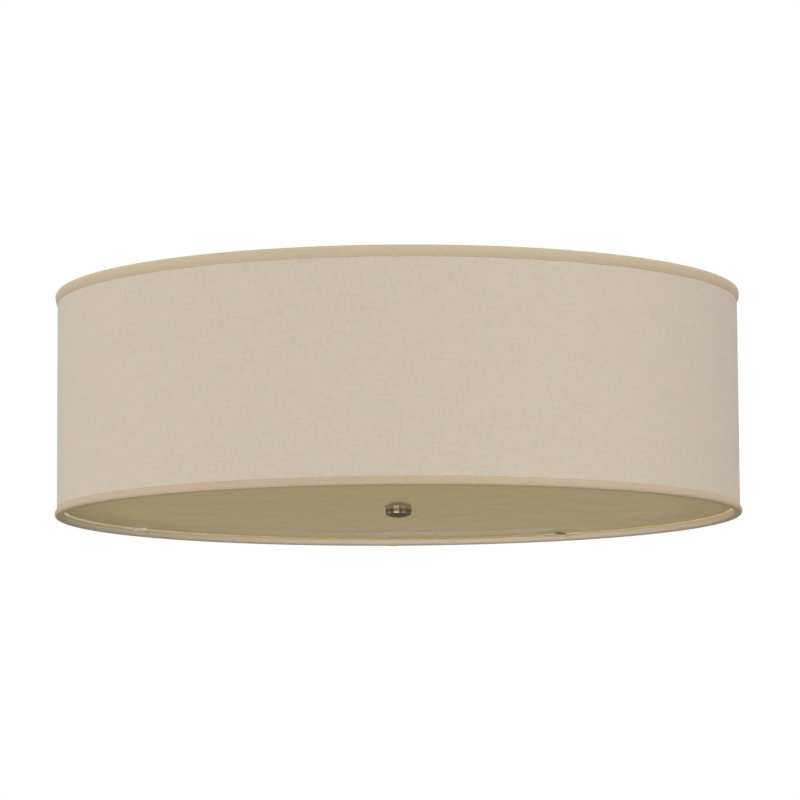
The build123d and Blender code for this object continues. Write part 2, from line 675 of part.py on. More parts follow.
# Sprung brass centre contacts, one under each bulb's tip.
with BuildPart() as centre_contacts:
    for a in LAMP_ANGLES:
        with BuildSketch(lamp_plane(a)):
            with BuildLine():
                Polyline(
                    (HOLDER_IN + 21.0, -5.2), (HOLDER_IN + 21.6, -5.2), (HOLDER_IN + 21.6, -1.0),
                    (TIP_S - 0.75, 3.2), (TIP_S - 0.75, 4.4), (TIP_S - 1.35, 4.4), (TIP_S - 1.35, 3.4),
                    (HOLDER_IN + 21.0, -0.7), close=True,
                )
            make_face()
        extrude(amount=2.2, both=True)
save(centre_contacts, "centre_contacts")

# ===========================================================================
# INTERNAL WIRING
# ===========================================================================

# Live and neutral each run down the upper stem to a wire nut in the cluster,
# and from that nut through every arm to its lampholder. The live wires cross
# the cluster below the neutral ones.
WIRE = 1.15
NUT_X = 13.0
for name, side, level, end in (("live_wires", 1, -6.5, 97.0), ("neutral_wires", -1, -2.6, 96.8)):
    join = (side * NUT_X, 0, Z_CL + level)
    runs = [[(side * 1.35, 0, 5.0), (side * 1.35, 0, Z_CL + 3.5), (side * 5.0, 0, Z_CL + level), join,
             (side * NUT_X, 0, Z_CL + level + 1.8)]]
    for a in LAMP_ANGLES:
        in_arm = Z_CL - side * 1.35
        runs.append([join, ring_at(16.5, a, Z_CL + level), ring_at(26.5, a, in_arm), ring_at(end, a, in_arm)])
    with BuildPart() as wires:
        for run in runs:
            for start, stop in zip(run, run[1:]):
                step = Vector(*stop) - Vector(*start)
                with BuildSketch(Plane(origin=start, z_dir=step)):
                    Circle(WIRE)
                extrude(amount=step.length)
            with Locations(*run[1:-1]):
                Sphere(WIRE)
        with Locations(join):
            Sphere(WIRE)
    save(wires, name)

# Wire nuts: one joins the live ends, one the neutral ends, in the cluster.
with BuildPart() as wire_nuts:
    for x, level in ((NUT_X, -6.5), (-NUT_X, -2.6)):
        with BuildSketch(Plane.XY.offset(Z_CL + level + 1.8)):
            with Locations((x, 0)):
                Circle(5.4)
        extrude(amount=13.0, taper=7)
save(wire_nuts, "wire_nuts")
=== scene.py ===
import json
import math

import bmesh
import bpy
import numpy as np
from mathutils import Matrix, Vector


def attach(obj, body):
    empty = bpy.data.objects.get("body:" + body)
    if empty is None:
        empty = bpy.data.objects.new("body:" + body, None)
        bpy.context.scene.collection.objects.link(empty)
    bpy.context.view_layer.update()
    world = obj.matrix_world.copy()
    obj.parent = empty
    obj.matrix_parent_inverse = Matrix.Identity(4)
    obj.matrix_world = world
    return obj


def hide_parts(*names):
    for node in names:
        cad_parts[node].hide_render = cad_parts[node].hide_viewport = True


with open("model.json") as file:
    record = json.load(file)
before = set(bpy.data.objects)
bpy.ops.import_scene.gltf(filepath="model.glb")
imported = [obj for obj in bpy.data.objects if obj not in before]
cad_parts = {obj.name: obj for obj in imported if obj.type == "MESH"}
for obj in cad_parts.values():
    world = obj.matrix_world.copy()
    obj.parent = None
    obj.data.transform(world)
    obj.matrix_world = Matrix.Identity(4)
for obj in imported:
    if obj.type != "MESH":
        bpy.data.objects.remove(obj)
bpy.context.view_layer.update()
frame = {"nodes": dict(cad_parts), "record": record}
nodes = frame["nodes"]

# Sizes repeated from the construction, in millimetres.
SHADE_R = 381.0
LINER_R = 380.5
LINER_IN = 379.7
RING_R = 377.3
TRIM_R = 383.4
Z_TOP = -10.0
Z_BOT = -260.0
TAPE_T = 0.8
TAB_ANGLES = (58.5, 145.0, 236.8, 326.8)
SPIDER_ANGLES = (0.0, 90.0, 180.0, 270.0)
SEAM = 90.0  # the shade's seam is at the back
TAU = 2 * math.pi


# ---------------------------------------------------------------------------
# node helpers
# ---------------------------------------------------------------------------
class Tree:
    """Short hand for building a node tree. A number is set on the socket itself, and a socket is linked."""

    def __init__(self, tree):
        self.tree = tree

    def node(self, kind, **props):
        n = self.tree.nodes.new(kind)
        for key, value in props.items():
            setattr(n, key, value)
        return n

    def put(self, value, socket):
        if isinstance(value, bpy.types.NodeSocket):
            self.tree.links.new(value, socket)
        else:
            socket.default_value = value

    def math(self, op, a, b=None, c=None, clamp=False):
        n = self.node("ShaderNodeMath", operation=op, use_clamp=clamp)
        for value, socket in zip((a, b, c), n.inputs):
            if value is not None:
                self.put(value, socket)
        return n.outputs[0]

    def sum(self, *terms):
        total = terms[0]
        for term in terms[1:]:
            total = self.math("ADD", total, term)
        return total

    def split(self, vector):
        n = self.node("ShaderNodeSeparateXYZ")
        self.put(vector, n.inputs[0])
        return n.outputs

    def join(self, x, y, z):
        n = self.node("ShaderNodeCombineXYZ")
        for value, socket in zip((x, y, z), n.inputs):
            self.put(value, socket)
        return n.outputs[0]

    def noise(self, vector, scale, detail=2.0, rough=0.5, distortion=0.0):
        n = self.node("ShaderNodeTexNoise")
        self.put(vector, n.inputs["Vector"])
        n.inputs["Scale"].default_value = scale
        n.inputs["Detail"].default_value = detail
        n.inputs["Roughness"].default_value = rough
        n.inputs["Distortion"].default_value = distortion
        return n.outputs["Fac"]

    def cells(self, vector, scale, randomness=1.0):
        n = self.node("ShaderNodeTexVoronoi")
        self.put(vector, n.inputs["Vector"])
        n.inputs["Scale"].default_value = scale
        n.inputs["Randomness"].default_value = randomness
        return n.outputs["Distance"], n.outputs["Color"]

    def span(self, value, low, high, to_low=0.0, to_high=1.0, smooth=False):
        n = self.node("ShaderNodeMapRange", clamp=True)
        if smooth:
            n.interpolation_type = "SMOOTHSTEP"
        for v, socket in zip((value, low, high, to_low, to_high), n.inputs):
            self.put(v, socket)
        return n.outputs[0]

    def mix(self, factor, a, b):
        n = self.node("ShaderNodeMix", data_type="RGBA", clamp_factor=True)
        self.put(factor, n.inputs[0])
        for value, socket in ((a, n.inputs[6]), (b, n.inputs[7])):
            self.put(value if isinstance(value, bpy.types.NodeSocket) else (*value, 1.0), socket)
        return n.outputs[2]

    def times(self, a, b):
        n = self.node("ShaderNodeMix", data_type="RGBA", blend_type="MULTIPLY")
        n.inputs[0].default_value = 1.0
        for value, socket in ((a, n.inputs[6]), (b, n.inputs[7])):
            self.put(value if isinstance(value, bpy.types.NodeSocket) else (*value, 1.0), socket)
        return n.outputs[2]

    def bump(self, height, distance, strength=1.0, normal=None):
        n = self.node("ShaderNodeBump")
        n.inputs["Strength"].default_value = strength
        n.inputs["Distance"].default_value = distance
        self.put(height, n.inputs["Height"])
        if normal is not None:
            self.put(normal, n.inputs["Normal"])
        return n.outputs[0]

    def scaled(self, vector, x, y, z):
        n = self.node("ShaderNodeMapping")
        self.put(vector, n.inputs["Vector"])
        n.inputs["Scale"].default_value = (x, y, z)
        return n.outputs[0]

    def object_space(self):
        return self.node("ShaderNodeTexCoord").outputs["Object"]

    def weave_space(self):
        return self.node("ShaderNodeUVMap", uv_map="weave").outputs[0]


def material(name, **constants):
    """A node material with constants set on the shader's own sockets. Returns it, its tree and its shader."""
    m = bpy.data.materials.new(name)
    m.use_nodes = True
    shader = next(n for n in m.node_tree.nodes if n.type == "BSDF_PRINCIPLED")
    for key, value in constants.items():
        socket = shader.inputs[key.replace("_", " ")]
        socket.default_value = (*value, 1.0) if isinstance(value, tuple) and len(value) == 3 and socket.type == "RGBA" else value
    return m, Tree(m.node_tree), shader


def shade(colour, k):
    return tuple(c * k for c in colour)


# ---------------------------------------------------------------------------
# materials
# ---------------------------------------------------------------------------
def linen(name, base, pitch, mottle, slub, turn=0.0, specks=True, sheen=0.12, inner=None, shaded_below=None, painted_glow=None):
    """Plain weave from the weave map, which is in metres: threads, slubs, soft mottling and a few coloured fibres.
    inner is (from, to, colour): the cloth has that colour past that distance across it. shaded_below is (height, tint):
    the cloth below that height is darkened by the tint, a painted shade. painted_glow is (from, to, colour): the edge
    past that is painted that colour, a painted glow of light coming through."""
    m, t, s = material(name, Roughness=0.88, Sheen_Weight=sheen, Sheen_Roughness=0.45, Specular_IOR_Level=0.25)
    uv = t.weave_space()
    across = t.split(uv)[1]
    if turn:
        n = t.node("ShaderNodeMapping")
        t.put(uv, n.inputs["Vector"])
        n.inputs["Rotation"].default_value = (0.0, 0.0, math.radians(turn))
        uv = n.outputs[0]
    u, v, _ = t.split(uv)
    # the threads wander a little, so that no two gaps are alike
    wander_u = t.math("MULTIPLY", t.math("SUBTRACT", t.noise(uv, 95.0, 2.0), 0.5), 1.5)
    wander_v = t.math("MULTIPLY", t.math("SUBTRACT", t.noise(t.scaled(uv, 1.0, 1.0, 1.0), 83.0, 2.0), 0.5), 1.5)
    fu = t.sum(t.math("DIVIDE", u, pitch), wander_u)
    fv = t.sum(t.math("DIVIDE", v, pitch * 1.08), wander_v)
    su = t.math("SINE", t.math("MULTIPLY", fu, math.pi))
    sv = t.math("SINE", t.math("MULTIPLY", fv, math.pi))
    au, av = t.math("ABSOLUTE", su), t.math("ABSOLUTE", sv)
    over = t.span(t.math("MULTIPLY", su, sv), -0.12, 0.12, smooth=True)
    warp = t.math("MULTIPLY", au, t.math("MULTIPLY_ADD", av, 0.45, 0.55))
    weft = t.math("MULTIPLY", av, t.math("MULTIPLY_ADD", au, 0.45, 0.55))
    height = t.sum(
        t.math("MULTIPLY", warp, over),
        t.math("MULTIPLY", weft, t.math("SUBTRACT", 1.0, over)),
    )
    # each thread has its own tone, which changes slowly along it
    tone_u = t.noise(t.join(t.math("MULTIPLY", fu, 0.31), t.math("MULTIPLY", v, 62.0), 0.0), 1.0, 2.0)
    tone_v = t.noise(t.join(t.math("MULTIPLY", u, 62.0), t.math("MULTIPLY", fv, 0.31), 7.3), 1.0, 2.0)
    thick_u = t.span(t.noise(t.join(t.math("MULTIPLY", fu, 0.33), t.math("MULTIPLY", v, 70.0), 3.1), 1.0, 1.0), 0.66, 0.8, smooth=True)
    thick_v = t.span(t.noise(t.join(t.math("MULTIPLY", u, 70.0), t.math("MULTIPLY", fv, 0.33), 9.7), 1.0, 1.0), 0.66, 0.8, smooth=True)
    soft = t.noise(uv, 205.0, 2.0, 0.5)
    broad = t.noise(uv, 26.0, 2.0, 0.5)
    factor = t.sum(
        1.0,
        t.math("MULTIPLY", t.math("SUBTRACT", tone_u, 0.5), slub),
        t.math("MULTIPLY", t.math("SUBTRACT", tone_v, 0.5), slub),
        t.math("MULTIPLY", t.math("SUBTRACT", soft, 0.5), mottle),
        t.math("MULTIPLY", t.math("SUBTRACT", broad, 0.5), mottle * 0.35),
        t.math("MULTIPLY", thick_u, slub * 0.28),
        t.math("MULTIPLY", thick_v, -slub * 0.28),
        # the weave's low places are painted darker, a painted shade between the threads
        t.math("MULTIPLY", t.math("SUBTRACT", height, 0.62), 0.16),
    )
    level = t.span(factor, 0.5, 1.5)
    colour = t.mix(level, shade(base, 0.5), shade(base, 1.5))
    # the undyed fibre is warmer in some places and greyer in others
    hue = t.span(t.sum(t.math("MULTIPLY", t.noise(uv, 170.0, 2.0, 0.5), 0.7), t.math("MULTIPLY", t.noise(uv, 31.0, 1.0), 0.3)), 0.3, 0.7)
    colour = t.times(colour, t.mix(hue, (0.980, 1.010, 1.045), (1.020, 0.990, 0.955)))
    if inner:
        start, end, tint = inner
        colour = t.mix(t.span(across, start, end, smooth=True), colour, t.mix(level, shade(tint, 0.5), shade(tint, 1.5)))
    # the edge past that is painted amber, a painted glow of light coming through beside the panel's edge
    if painted_glow:
        start, end, tint = painted_glow
        ragged = t.sum(across, t.math("MULTIPLY", t.math("SUBTRACT", t.noise(uv, 120.0, 2.0), 0.5), 0.0012))
        colour = t.mix(t.math("MULTIPLY", t.span(ragged, start, end, smooth=True), 0.75), colour, tint)
    # below that height the tape is painted darker, a painted shade
    if shaded_below:
        height_at, dim = shaded_below
        lower = t.span(t.split(t.object_space())[2], height_at - 0.01, height_at + 0.01, 1.0, 0.0)
        colour = t.times(colour, t.mix(lower, (1.0, 1.0, 1.0), dim))
    if specks:
        near, random = t.cells(uv, 95.0)
        pick = t.node("ShaderNodeSeparateColor")
        t.put(random, pick.inputs[0])
        fibre = t.math(
            "MULTIPLY",
            t.span(near, 0.06, 0.11, 1.0, 0.0, smooth=True),
            t.span(pick.outputs[0], 0.982, 0.984),
        )
        colour = t.mix(t.math("MULTIPLY", fibre, 0.42), colour, (0.72, 0.42, 0.13))
        # a few husks caught along the threads
        for lengthwise, number, tint in ((2.6, 0.990, (0.42, 0.29, 0.12)), (0.4, 0.992, (0.66, 0.45, 0.18))):
            near, random = t.cells(t.scaled(uv, 1.0 / lengthwise, lengthwise, 1.0), 70.0)
            pick = t.node("ShaderNodeSeparateColor")
            t.put(random, pick.inputs[0])
            husk = t.math("MULTIPLY", t.span(near, 0.05, 0.14, 1.0, 0.0, smooth=True), t.span(pick.outputs[1], number, number + 0.001))
            colour = t.mix(t.math("MULTIPLY", husk, 0.34), colour, tint)
    t.put(colour, s.inputs["Base Color"])
    fold = t.bump(t.noise(uv, 55.0, 3.0, 0.55), 0.0003, 0.6)
    raised = t.sum(height, t.math("MULTIPLY", thick_u, 0.5), t.math("MULTIPLY", thick_v, 0.5))
    t.put(t.bump(raised, pitch * 0.28, 0.55, fold), s.inputs["Normal"])
    return m


def plastic(name, base, rough, grain=900.0, depth=0.00004, tone=0.05, clouds=18.0, **constants):
    """Moulded or painted surface: slow tone clouds, a fine skin texture and small changes in gloss."""
    m, t, s = material(name, **constants)
    space = t.object_space()
    cloud = t.noise(space, clouds, 3.0, 0.55)
    t.put(t.mix(cloud, shade(base, 1 - tone), shade(base, 1 + tone)), s.inputs["Base Color"])
    fine = t.noise(space, grain, 2.0, 0.5)
    t.put(
        t.span(t.sum(t.math("MULTIPLY", cloud, 0.6), t.math("MULTIPLY", fine, 0.4)), 0.3, 0.7, rough * 0.85, min(1.0, rough * 1.15)),
        s.inputs["Roughness"],
    )
    t.put(t.bump(fine, depth, 0.5), s.inputs["Normal"])
    return m


def plated(name, base, rough, brush=(60.0, 60.0, 1400.0), tone=0.08, dull=(0.3, 0.27, 0.22), **constants):
    """Plated metal: fine directional lines, tone clouds and a few duller, rougher patches."""
    m, t, s = material(name, Metallic=1.0, **constants)
    space = t.object_space()
    cloud = t.noise(space, 45.0, 4.0, 0.6)
    lines = t.noise(t.scaled(space, *brush), 1.0, 2.0, 0.6)
    worn = t.span(t.noise(space, 120.0, 4.0, 0.65), 0.58, 0.74, smooth=True)
    colour = t.mix(cloud, shade(base, 1 - tone), shade(base, 1 + tone))
    t.put(t.mix(t.math("MULTIPLY", worn, 0.35), colour, dull), s.inputs["Base Color"])
    t.put(
        t.sum(rough, t.math("MULTIPLY", t.math("SUBTRACT", lines, 0.5), rough * 0.5), t.math("MULTIPLY", worn, 0.12)),
        s.inputs["Roughness"],
    )
    t.put(t.bump(lines, 0.00002, 0.4), s.inputs["Normal"])
    return m


FABRIC = (0.616, 0.554, 0.461)
TAPE = (0.606, 0.500, 0.362)
# the tape's inner leg is painted far paler than its outside: partly a paler lining, partly painted light that lifts the
# shaded leg
TAPE_INSIDE = (0.93, 0.87, 0.76)
# the panel's dark khaki is partly its own warm tint and partly painted shade and warm light from the linen; the acrylic
# is paler
DIFFUSER = (0.60, 0.49, 0.26)

mats = {
    "shade_fabric": linen("shade_fabric", FABRIC, 0.00058, 0.115, 0.115),
    # the amber edge of the inner leg set here is a painted glow of light coming through
    # the darkening of the bottom tape set here is a painted shade
    "trim_tape": linen("trim_tape", TAPE, 0.00036, 0.12, 0.10, turn=45.0, specks=False, sheen=0.08, inner=(0.0160, 0.0205, TAPE_INSIDE), shaded_below=(-0.13, (0.928, 0.902, 0.887)), painted_glow=(0.0216, 0.0236, (0.93, 0.76, 0.42))),
    "ring_wire": plastic("ring_wire", (0.80, 0.79, 0.75), 0.42, grain=1500.0, depth=0.00005),
    "brass": plated("brass", (0.80, 0.60, 0.29), 0.26, dull=(0.36, 0.24, 0.10)),
    "gasket": plastic("gasket", (0.72, 0.70, 0.64), 0.45, Subsurface_Weight=0.2, Subsurface_Scale=0.001),
    "zinc": plated("zinc", (0.66, 0.66, 0.64), 0.34, brush=(240.0, 240.0, 240.0), tone=0.12, dull=(0.42, 0.42, 0.41)),
    "ground_green": plated("ground_green", (0.06, 0.34, 0.15), 0.36, dull=(0.03, 0.14, 0.07)),
    "white_enamel": plastic("white_enamel", (0.83, 0.82, 0.79), 0.30, grain=420.0, depth=0.00006, tone=0.02),
    "bushing": plastic("bushing", (0.045, 0.045, 0.045), 0.5),
    "tab_white": plastic("tab_white", (0.93, 0.92, 0.88), 0.32, grain=700.0, tone=0.02),
    # a dark gold copy of the tabs' white paint, a painted shade
    "tab_shaded": plastic("tab_shaded", (0.36, 0.275, 0.115), 0.42, grain=700.0, tone=0.05),
    "lampholder": plastic("lampholder", (0.030, 0.028, 0.026), 0.38, tone=0.18),
    "bulb_base": plated("bulb_base", (0.72, 0.71, 0.68), 0.24),
    "bulb_body": plastic("bulb_body", (0.86, 0.86, 0.84), 0.28, tone=0.015),
    "bulb_dome": plastic("bulb_dome", (0.90, 0.89, 0.86), 0.42, tone=0.012, Subsurface_Weight=0.35, Subsurface_Scale=0.01),
    "wire_black": plastic("wire_black", (0.03, 0.03, 0.03), 0.42, tone=0.1),
    "wire_white": plastic("wire_white", (0.78, 0.77, 0.74), 0.42),
    "wire_nut": plastic("wire_nut", (0.78, 0.30, 0.05), 0.40, tone=0.08),
}


def nickel():
    """The finial's old nickel: darker than new plate, with fine turning lines about its axis."""
    m, t, s = material("nickel", Metallic=1.0, Anisotropic=0.25)
    space = t.object_space()
    x, y, z = t.split(space)
    turned = t.noise(t.join(t.math("SQRT", t.sum(t.math("MULTIPLY", x, x), t.math("MULTIPLY", y, y))), 0.0, t.math("MULTIPLY", z, 1.0)), 5200.0, 1.0)
    cloud = t.noise(space, 160.0, 4.0, 0.6)
    t.put(t.mix(cloud, (0.240, 0.208, 0.158), (0.315, 0.278, 0.215)), s.inputs["Base Color"])
    t.put(t.sum(0.09, t.math("MULTIPLY", turned, 0.05), t.math("MULTIPLY", cloud, 0.05)), s.inputs["Roughness"])
    t.put(t.bump(turned, 0.00001, 0.3), s.inputs["Normal"])
    return m


def liner():
    """White styrene sheet, faintly brushed by its calender rolls, with the lap of its seam at the back."""
    m, t, s = material("shade_liner", Specular_IOR_Level=0.4)
    space = t.object_space()
    x, y, z = t.split(space)
    round_it = t.math("MULTIPLY", t.math("ARCTAN2", y, x), LINER_R / 1000)
    flat = t.join(round_it, z, 0.0)
    cloud = t.noise(flat, 14.0, 3.0, 0.55)
    rolls = t.noise(t.join(t.math("MULTIPLY", round_it, 900.0), t.math("MULTIPLY", z, 25.0), 0.0), 1.0, 2.0)
    lap = t.math("SUBTRACT", round_it, math.radians(SEAM) * LINER_R / 1000)
    inside_lap = t.math("MULTIPLY", t.span(lap, -0.0001, 0.0001), t.span(lap, 0.0119, 0.0121, 1.0, 0.0))
    colour = t.mix(cloud, (0.80, 0.775, 0.70), (0.855, 0.83, 0.755))
    colour = t.mix(t.math("MULTIPLY", inside_lap, 0.10), colour, (0.70, 0.66, 0.56))
    # beside the diffuser's edge the sheet is painted amber, a painted glow of light coming through there, weaker at the
    # left
    ragged = t.sum(z, t.math("MULTIPLY", t.noise(flat, 60.0, 2.0), 0.0016))
    amber_glow = t.math("MULTIPLY", t.span(ragged, -0.2525, -0.2505, smooth=True), t.span(ragged, -0.2440, -0.2300, 1.0, 0.0, smooth=True))
    amber_glow = t.math("MULTIPLY", amber_glow, t.span(x, -0.36, -0.12, 0.35, 0.85, smooth=True))
    t.put(t.mix(amber_glow, colour, (0.96, 0.80, 0.42)), s.inputs["Base Color"])
    t.put(t.span(rolls, 0.3, 0.7, 0.48, 0.6), s.inputs["Roughness"])
    t.put(t.bump(t.sum(t.math("MULTIPLY", rolls, 0.05), inside_lap), 0.0006, 0.5), s.inputs["Normal"])
    return m


def diffuser():
    """Satin acrylic panel, glossy at a low angle, with the faint waves of cast sheet."""
    m, t, s = material("diffuser", IOR=1.49, Specular_IOR_Level=0.5)
    space = t.object_space()
    cloud = t.noise(space, 9.0, 3.0, 0.55)
    blotch = t.noise(t.scaled(space, 1.0, 0.32, 1.0), 75.0, 2.0, 0.5)
    fine = t.noise(space, 260.0, 3.0, 0.6)
    dust = t.span(t.noise(space, 900.0, 2.0, 0.6), 0.72, 0.8, smooth=True)
    colour = t.mix(cloud, shade(DIFFUSER, 0.95), shade(DIFFUSER, 1.05))
    colour = t.times(colour, t.mix(t.span(blotch, 0.3, 0.7), (0.968, 0.980, 1.050), (1.032, 1.020, 0.950)))
    colour = t.mix(t.math("MULTIPLY", dust, 0.25), colour, shade(DIFFUSER, 0.6))
    t.put(colour, s.inputs["Base Color"])
    x, y, _ = t.split(space)
    out = t.math("SQRT", t.sum(t.math("MULTIPLY", x, x), t.math("MULTIPLY", y, y)))
    handled = t.span(out, 0.27, 0.37, 0.0, 0.15, smooth=True)
    t.put(t.sum(t.span(fine, 0.3, 0.7, 0.05, 0.09), handled), s.inputs["Roughness"])
    rolled = t.bump(t.noise(space, 13.0, 1.0, 0.5), 0.00042, 1.0)
    waves = t.bump(t.noise(t.scaled(space, 1.0, 0.24, 1.0), 60.0, 1.0, 0.5), 0.00040, 1.0, rolled)
    t.put(t.bump(t.noise(space, 320.0, 2.0, 0.5), 0.00001, 0.5, waves), s.inputs["Normal"])
    return m


mats["nickel"] = nickel()
mats["shade_liner"] = liner()
mats["diffuser"] = diffuser()

slot_of = {p["node"]: p["material_slot"] for p in frame["record"]["subparts"]}
# one of the four like tabs is painted dark gold, a painted shade
slot_of["turn_tab_1"] = "tab_shaded"
for name, o in nodes.items():
    m = mats[slot_of[name]]
    if o.data.materials:
        for i in range(len(o.data.materials)):
            o.data.materials[i] = m
    else:
        o.data.materials.append(m)


# ---------------------------------------------------------------------------
# soft pieces
# ---------------------------------------------------------------------------
def wave(theta, seed, low, high, count=14):
    """A periodic random wave round the drum, about -1 to 1, from whole numbers of waves."""
    r = np.random.RandomState(seed)
    k = r.randint(low, high + 1, count)
    a = r.rand(count) * 0.6 + 0.4
    return sum(x * np.sin(n * theta + p) for x, n, p in zip(a, k, r.rand(count) * TAU)) / np.sqrt((a**2).sum())


def columns(count, marks):
    """Angles round the drum, in radians: an even spacing plus close pairs at each mark in degrees."""
    even = np.arange(count) / count * TAU
    extra = [math.radians(d) % TAU for d in marks]
    return np.unique(np.round(np.concatenate([even, extra]), 7))


def gap(theta, degrees):
    """Signed angle from a direction, in radians."""
    return (theta - math.radians(degrees) + math.pi) % TAU - math.pi


def ring_mesh(name, theta, prof, along, radius):
    """A closed ring. prof holds r and z in mm for each column and profile point, and along is the map's v in mm."""
    n, m = prof.shape[:2]
    x, y = prof[..., 0] * np.cos(theta)[:, None], prof[..., 0] * np.sin(theta)[:, None]
    co = np.stack([x, y, prof[..., 1]], -1).reshape(-1, 3) / 1000
    j, i = np.meshgrid(np.arange(n), np.arange(m), indexing="ij")
    j2, i2 = (j + 1) % n, (i + 1) % m
    faces = np.stack([j * m + i, j2 * m + i, j2 * m + i2, j * m + i2], -1).reshape(-1, 4)
    mesh = bpy.data.meshes.new(name)
    mesh.from_pydata(co.tolist(), [], faces.tolist())
    u = np.append(theta, theta[0] + TAU) * radius / 1000
    v = np.asarray(along) / 1000
    ju, iv = j.reshape(-1), i.reshape(-1)
    uv = np.stack(
        [np.stack([u[ju], v[iv]], -1), np.stack([u[ju + 1], v[iv]], -1), np.stack([u[ju + 1], v[iv + 1]], -1), np.stack([u[ju], v[iv + 1]], -1)],
        1,
    ).reshape(-1, 2)
    layer = mesh.uv_layers.new(name="weave")
    layer.data.foreach_set("uv", uv.astype(np.float32).ravel())
    bm = bmesh.new()
    bm.from_mesh(mesh)
    if bm.calc_volume(signed=True) < 0:
        bmesh.ops.reverse_faces(bm, faces=bm.faces)
    bm.to_mesh(mesh)
    bm.free()
    mesh.polygons.foreach_set("use_smooth", [True] * len(mesh.polygons))
    mesh.update()
    o = bpy.data.objects.new(name, mesh)
    bpy.context.scene.collection.objects.link(o)
    return o


def through(points, step):
    """Points a step apart on a smooth curve through the given ones."""
    p = np.array(points, float)
    p = np.vstack([2 * p[0] - p[1], p, 2 * p[-1] - p[-2]])
    out = []
    for a, b, c, d in zip(p, p[1:], p[2:], p[3:]):
        for s in np.linspace(0, 1, 24, endpoint=False):
            out.append(0.5 * (2 * b + (c - a) * s + (2 * a - 5 * b + 4 * c - d) * s**2 + (3 * b - a - 3 * c + d) * s**3))
    out = np.array(out + [p[-2]])
    far = np.append(0, np.cumsum(np.linalg.norm(np.diff(out, axis=0), axis=1)))
    even = np.linspace(0, far[-1], int(round(far[-1] / step)) + 1)
    return np.stack([np.interp(even, far, out[:, k]) for k in (0, 1)], -1), even


